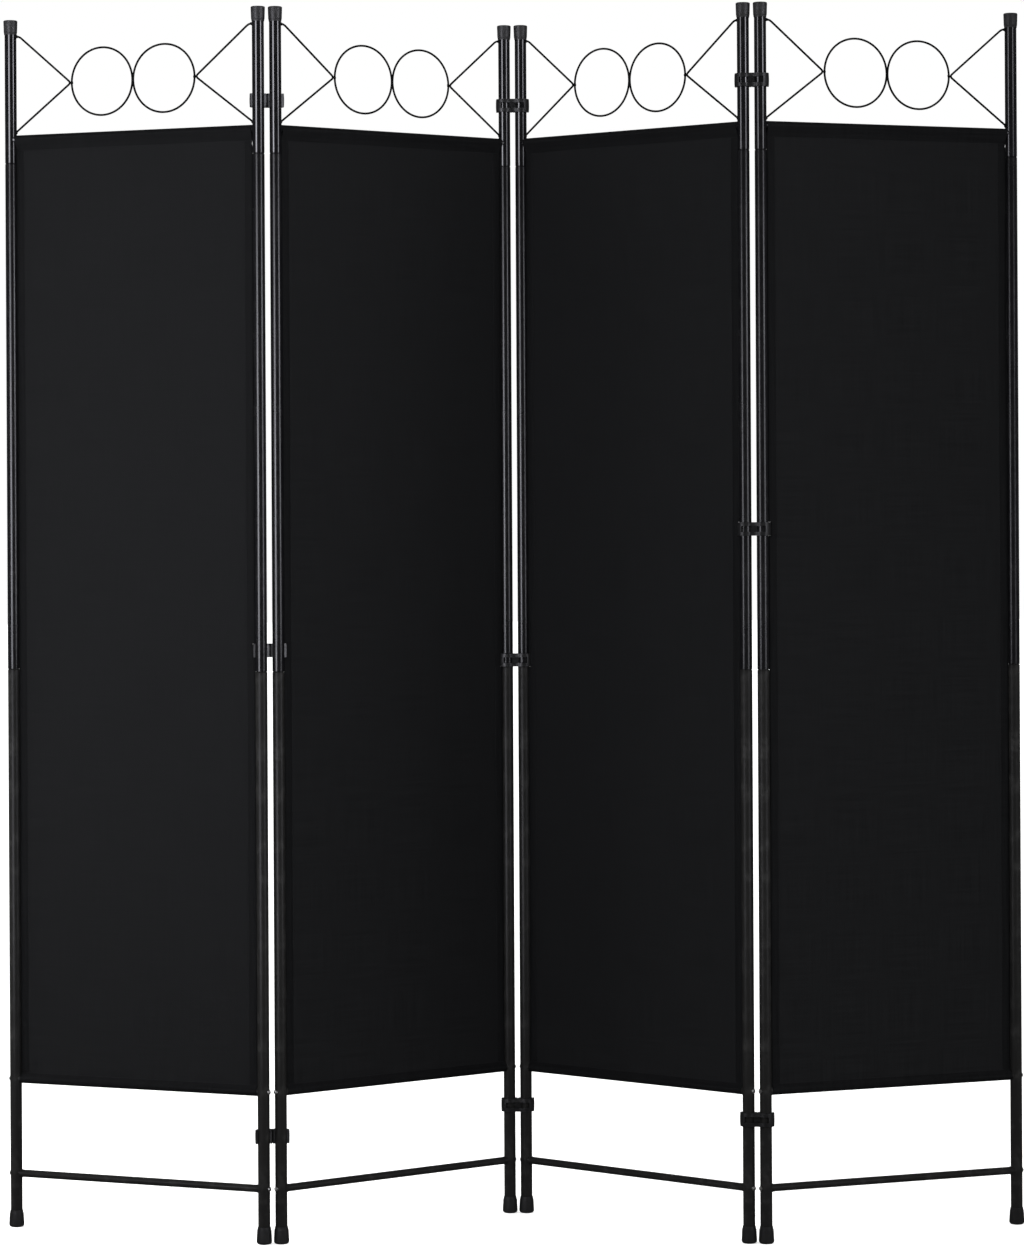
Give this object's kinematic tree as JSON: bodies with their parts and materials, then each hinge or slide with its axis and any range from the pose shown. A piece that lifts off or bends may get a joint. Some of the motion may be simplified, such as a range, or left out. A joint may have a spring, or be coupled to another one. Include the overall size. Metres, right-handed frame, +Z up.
{
  "type": "folding room divider screen",
  "caption": "Folding room divider: hinged panels of round steel poles with fabric sheets, ring and wire ornaments above, double clips between the poles, plastic caps and feet.",
  "frame": {"origin": "on the floor, under the middle of the bounding box", "axes": "+Z up; +X along the width of the screen, left to right seen from the front; the front is -Y"},
  "size_m": [1.5118, 0.2748, 1.8],
  "materials": {
    "black_paint": "gloss black enamel on steel",
    "cap_plastic": "satin moulded black plastic",
    "clip_plastic": "semi-gloss moulded black plastic",
    "fabric": "plain-woven black polyester",
    "zinc": "bright zinc-plated screw heads"
  },
  "bodies": {
    "panel_2": {"panel_2_top_frame": "black_paint", "panel_2_hem_bar": "black_paint", "panel_2_crossbar": "black_paint", "panel_2_fabric": "fabric", "panel_2_left_middle_tube": "black_paint", "panel_2_left_bottom_tube": "black_paint", "panel_2_left_cap": "cap_plastic", "panel_2_left_foot": "cap_plastic", "panel_2_right_middle_tube": "black_paint", "panel_2_right_bottom_tube": "black_paint", "panel_2_right_cap": "cap_plastic", "panel_2_right_foot": "cap_plastic"},
    "clips_12": {"clip_12_top": "clip_plastic", "clip_12_middle": "clip_plastic", "clip_12_bottom": "clip_plastic"},
    "panel_1": {"panel_1_top_frame": "black_paint", "panel_1_hem_bar": "black_paint", "panel_1_crossbar": "black_paint", "panel_1_fabric": "fabric", "panel_1_left_middle_tube": "black_paint", "panel_1_left_bottom_tube": "black_paint", "panel_1_left_cap": "cap_plastic", "panel_1_left_foot": "cap_plastic", "panel_1_right_middle_tube": "black_paint", "panel_1_right_bottom_tube": "black_paint", "panel_1_right_cap": "cap_plastic", "panel_1_right_foot": "cap_plastic"},
    "clips_23": {"clip_23_top": "clip_plastic", "clip_23_middle": "clip_plastic", "clip_23_bottom": "clip_plastic"},
    "panel_3": {"panel_3_top_frame": "black_paint", "panel_3_hem_bar": "black_paint", "panel_3_crossbar": "black_paint", "panel_3_fabric": "fabric", "panel_3_left_middle_tube": "black_paint", "panel_3_left_bottom_tube": "black_paint", "panel_3_left_cap": "cap_plastic", "panel_3_left_foot": "cap_plastic", "panel_3_right_middle_tube": "black_paint", "panel_3_right_bottom_tube": "black_paint", "panel_3_right_cap": "cap_plastic", "panel_3_right_foot": "cap_plastic"},
    "clips_34": {"clip_34_top": "clip_plastic", "clip_34_middle": "clip_plastic", "clip_34_bottom": "clip_plastic"},
    "panel_4": {"panel_4_top_frame": "black_paint", "panel_4_hem_bar": "black_paint", "panel_4_crossbar": "black_paint", "panel_4_fabric": "fabric", "panel_4_left_middle_tube": "black_paint", "panel_4_left_bottom_tube": "black_paint", "panel_4_left_cap": "cap_plastic", "panel_4_left_foot": "cap_plastic", "panel_4_right_middle_tube": "black_paint", "panel_4_right_bottom_tube": "black_paint", "panel_4_right_cap": "cap_plastic", "panel_4_right_foot": "cap_plastic"}
  },
  "joints": [
    {"name": "clips_12_on_panel_2", "type": "hinge", "parent": "panel_2", "child": "clips_12", "pos_m": [-0.34101, -0.10662, 0.9], "axis": [0, 0, -1], "range_deg": [-118, 62]},
    {"name": "panel_1_in_clips_12", "type": "hinge", "parent": "clips_12", "child": "panel_1", "pos_m": [-0.36582, -0.10967, 0.9], "axis": [0, 0, -1], "range_deg": [-118, 62]},
    {"name": "clips_23_on_panel_2", "type": "hinge", "parent": "panel_2", "child": "clips_23", "pos_m": [-0.00843, 0.12625, 0.9], "axis": [0, 0, -1], "range_deg": [-126.25, 53.75]},
    {"name": "panel_3_in_clips_23", "type": "hinge", "parent": "clips_23", "child": "panel_3", "pos_m": [0.01656, 0.12571, 0.9], "axis": [0, 0, -1], "range_deg": [-126.25, 53.75]},
    {"name": "clips_34_on_panel_3", "type": "hinge", "parent": "panel_3", "child": "clips_34", "pos_m": [0.33866, -0.12145, 0.9], "axis": [0, 0, 1], "range_deg": [-118.75, 61.25]},
    {"name": "panel_4_in_clips_34", "type": "hinge", "parent": "clips_34", "child": "panel_4", "pos_m": [0.36337, -0.12525, 0.9], "axis": [0, 0, 1], "range_deg": [-118.75, 61.25]}
  ]
}
